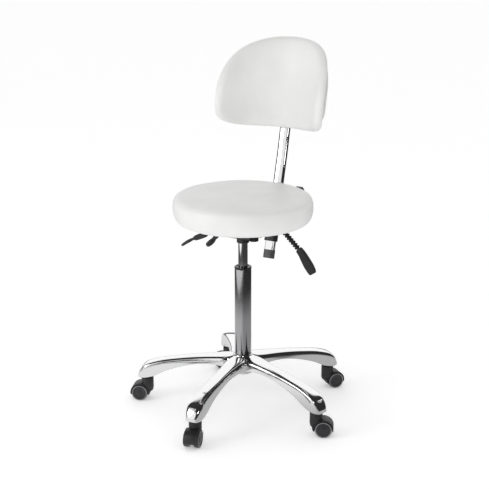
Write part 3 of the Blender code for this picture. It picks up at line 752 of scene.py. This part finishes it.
def build_pad():
    front = [(0.0, -0.0190), (0.12, -0.0190), (0.25, -0.0190), (0.40, -0.0190), (0.55, -0.0189),
             (0.68, -0.0187), (0.78, -0.0183), (0.86, -0.0175), (0.915, -0.0161), (0.950, -0.0139),
             (0.966, -0.0122)]
    seam = [(0.9720, -0.0112), (0.9735, -0.0106), (0.9762, -0.0102)]
    rim = [(0.984, -0.0080), (0.993, -0.0042), (0.998, -0.0005), (0.998, 0.0040), (0.992, 0.0078),
           (0.980, 0.0104), (0.962, 0.0119), (0.935, 0.0126), (0.90, 0.0126), (0.80, 0.0122), (0.60, 0.0120),
           (0.30, 0.0120), (0.0, 0.0120)]
    section = [tuple(v) for v in spline(front, 2)] + seam + [tuple(v) for v in spline(rim, 2)]
    pad = pad_surface("back_pad", section, 0.0)
    finish(pad, LEATHER, "backrest", "leather", "pad_cushion")
    edge = [(0.0, 0.0127), (0.35, 0.0127), (0.70, 0.0127), (0.90, 0.0127), (0.985, 0.0127), (0.997, 0.0132),
            (1.0, 0.0145), (1.0, 0.0172), (0.997, 0.0184), (0.985, 0.0190), (0.90, 0.0190), (0.70, 0.0190),
            (0.35, 0.0190), (0.0, 0.0190)]
    board = pad_surface("back_cover_board", edge, 0.032)
    finish(board, SHELL, "backrest", "shell", "pad_board")


BAR = ((0.175, 0.425), (0.2712, 0.7505), (0.3271, 0.975))


def build_bar():
    foot = Vector((0.0, *BAR[0]))
    bend = Vector((0.0, *BAR[1]))
    head = Vector((0.0, *BAR[2]))
    along = (bend - foot).normalized()
    wide = (head - bend).normalized()
    path = [foot]
    for k in range(13):
        t = k / 12
        start = bend - along * 0.035
        end = bend + wide * 0.035
        path.append(start * (1 - t) ** 2 + bend * 2 * t * (1 - t) + end * t * t)
    path.append(head)
    outer = oval(0.0170, 0.0070, 3.0, 56)
    inner = oval(0.0154, 0.0054, 3.0, 56)
    loops = []
    across = Vector((1, 0, 0))
    for section, points in ((outer, path), (inner, list(reversed(path)))):
        for i, point in enumerate(points):
            tangent = (points[min(i + 1, len(points) - 1)] - points[max(i - 1, 0)]).normalized()
            if section is inner:
                tangent = -tangent
            second = tangent.cross(across).normalized()
            loops.append([point + across * u + second * v for u, v in section])
    loops.append(loops[0])
    bar = loft("support_bar", loops, caps=False)
    bevel(bar, 0.0005, 2, 50.0)
    finish(bar, CHROME, "backrest", "polished", "back_bar")
    keep("bar_end_cap", CAP, 0.0010)
    keep("bar_sleeve", PAINT, 0.0008)


def build_knob():
    at = centre("clamp_knob") - AXIS
    at.x = 0.0

    def lobes(angle, radius, height):
        if height > 0.057 and radius > 0.012:
            radius -= 0.0014 * (0.5 + 0.5 * math.cos(8 * angle)) * (radius / 0.019)
        return radius, height

    profile = rounded([(0, 0.0177), (0.0040, 0.0177), (0.0040, 0.0550), (0.0105, 0.0554), (0.0165, 0.0590),
                       (0.0190, 0.0630), (0.0190, 0.0792), (0.0172, 0.0840), (0.0120, 0.0848),
                       (0.0108, 0.0838), (0, 0.0838)], 0.0012)
    knob = lathe("height_clamp_knob", profile, 96, frame_along(at, (1, 0, 0)), lobes)
    finish(knob, PLASTIC, "knob", "black_plastic", "clamp_knob")


# ---- studio -------------------------------------------------------------------------------------------
VIEW = Vector((0.454, -0.891, 0.0))                 # floor direction from the stool to the viewer
FLOOR_HALF = 30.0
LAMPS = (  # name, place, point it faces, width, power
    ("key", (-1.9, -2.4, 1.7), (0, 0, 0.6), 1.1, 14.0),
    ("spot", (1.3, -2.6, 1.9), (0, 0, 0.6), 0.6, 7.0),
)
SENSOR_MM = 36.0
LENS_MM = 88.2
CAMERA_PLACE = (1.5400, -3.0223, 1.5440)            # from the gas-lift axis at floor level
CAMERA_SIDESTEP = 0.0044
CAMERA_PITCH = math.radians(16.88)
CAMERA_TURN = math.radians(27.0)


def dot(tree, source, direction):
    made = tree.nodes.new("ShaderNodeVectorMath")
    made.operation = "DOT_PRODUCT"
    made.inputs[1].default_value = direction
    tree.links.new(source, made.inputs[0])
    return made.outputs["Value"]


def ramp_between(tree, source, first, last, low, high):
    made = tree.nodes.new("ShaderNodeMapRange")
    made.interpolation_type = "SMOOTHSTEP"
    for key, value in (("From Min", first), ("From Max", last), ("To Min", low), ("To Max", high)):
        made.inputs[key].default_value = value
    tree.links.new(source, made.inputs["Value"])
    return made.outputs["Result"]


def brightest(tree, first, second):
    made = tree.nodes.new("ShaderNodeMath")
    made.operation = "MAXIMUM"
    tree.links.new(first, made.inputs[0])
    tree.links.new(second, made.inputs[1])
    return made.outputs["Value"]


def build_floor():
    """White floor that glows of its own, painted light which also lights the stool from below; mirror-like
    pieces see a painted reflection on it instead, fading out towards the viewer as a studio sweep would.
    """
    size = FLOOR_HALF
    corners = [(-size, -size, 0), (size, -size, 0), (size, size, 0), (-size, size, 0)]
    floor = new_object("studio_floor", corners, [(0, 1, 2, 3)], Vector((0, 0, -0.0003)))
    s = Shader("studio_white", (0.96, 0.96, 0.96), 0.0, 0.75)
    s.main.inputs["Specular IOR Level"].default_value = 0.1
    s.main.inputs["Emission Color"].default_value = (1.0, 1.0, 1.0, 1.0)
    # painted light: the floor glows at strength 0.30 though it is no lamp, so it reads white and lights the
    # stool from below
    s.main.inputs["Emission Strength"].default_value = 0.30
    # painted reflection, seen by glossy rays only: it fades towards the viewer and is darker to one side
    away = s.tree.nodes.new("ShaderNodeVectorMath")
    away.operation = "LENGTH"
    s.link(s.where, away.inputs[0])
    fade = ramp_between(s.tree, away.outputs["Value"], 0.70, 1.50, 1.0, 0.10)
    turned = ramp_between(s.tree, dot(s.tree, s.where, (-VIEW.y, VIEW.x, 0.0)), -0.35, 0.15, 0.85, 0.48)
    left = dot(s.tree, s.where, (0.75 * VIEW.y + 0.35 * VIEW.x, -0.75 * VIEW.x + 0.35 * VIEW.y, 0.0))
    table = s.tree.nodes.new("ShaderNodeMath")
    table.operation = "MULTIPLY"
    s.link(fade, table.inputs[0])
    s.link(turned, table.inputs[1])
    # painted reflection: a bright panel that only mirror-like pieces see in the floor
    panel = ramp_between(s.tree, left, 1.25, 1.42, 0.0, 1.1)
    painted_reflection_glow = s.tree.nodes.new("ShaderNodeEmission")
    s.link(brightest(s.tree, table.outputs["Value"], panel), painted_reflection_glow.inputs["Strength"])
    path = s.tree.nodes.new("ShaderNodeLightPath")
    mix = s.tree.nodes.new("ShaderNodeMixShader")
    s.link(path.outputs["Is Glossy Ray"], mix.inputs["Fac"])
    s.link(s.main.outputs["BSDF"], mix.inputs[1])
    s.link(painted_reflection_glow.outputs["Emission"], mix.inputs[2])
    s.link(mix.outputs["Shader"], s.tree.nodes["Material Output"].inputs["Surface"])
    floor.data.materials.append(s.material)


def build_world():
    """Even light for matt pieces; white panels on a dark studio for what polished pieces reflect."""
    world = bpy.data.worlds.new("studio")
    bpy.context.scene.world = world
    world.use_nodes = True
    tree = world.node_tree
    tree.nodes.clear()
    where = tree.nodes.new("ShaderNodeTexCoord").outputs["Generated"]
    soft = tree.nodes.new("ShaderNodeBackground")
    side = dot(tree, where, (VIEW.y, -VIEW.x, 0.0))
    tree.links.new(ramp_between(tree, side, -0.9, 0.9, 0.78, 1.02), soft.inputs["Strength"])
    panels = tree.nodes.new("ShaderNodeBackground")
    rear = ramp_between(tree, dot(tree, where, (-VIEW.x, -VIEW.y, 0.0)), 0.45, 0.60, 0.03, 1.35)
    left = ramp_between(tree, dot(tree, where, (-0.4385, -0.8606, 0.2588)), 0.88, 0.93, 0.03, 1.2)
    tree.links.new(brightest(tree, rear, left), panels.inputs["Strength"])
    path = tree.nodes.new("ShaderNodeLightPath")
    mix = tree.nodes.new("ShaderNodeMixShader")
    out = tree.nodes.new("ShaderNodeOutputWorld")
    tree.links.new(path.outputs["Is Glossy Ray"], mix.inputs["Fac"])
    tree.links.new(soft.outputs["Background"], mix.inputs[1])
    tree.links.new(panels.outputs["Background"], mix.inputs[2])
    tree.links.new(mix.outputs["Shader"], out.inputs["Surface"])


def build_studio():
    bpy.context.scene.view_settings.view_transform = "Standard"
    build_floor()
    build_world()
    for name, place, aim, width, power in LAMPS:
        lamp = bpy.data.lights.new(name, "AREA")
        lamp.size = width
        lamp.energy = power
        lamp.shape = "SQUARE"
        obj = bpy.data.objects.new(name, lamp)
        obj.location = place
        obj.rotation_euler = (Vector(aim) - Vector(place)).to_track_quat("-Z", "Y").to_euler()
        bpy.context.scene.collection.objects.link(obj)

    lens = bpy.data.cameras.new("camera")
    lens.sensor_width = SENSOR_MM
    lens.lens = LENS_MM
    camera = bpy.data.objects.new("camera", lens)
    camera.location = AXIS + Vector(CAMERA_PLACE)
    pitch, turn = CAMERA_PITCH, CAMERA_TURN
    aim = Vector((-math.sin(turn) * math.cos(pitch), math.cos(turn) * math.cos(pitch), -math.sin(pitch)))
    camera.rotation_euler = aim.to_track_quat("-Z", "Y").to_euler()
    camera.location += Vector((math.cos(turn), math.sin(turn), 0.0)) * CAMERA_SIDESTEP
    bpy.context.scene.collection.objects.link(camera)
    bpy.context.scene.camera = camera


build_star()
build_casters()
build_lift()
build_mechanism()
build_levers()
build_seat()
build_pad()
build_bar()
build_knob()
build_studio()
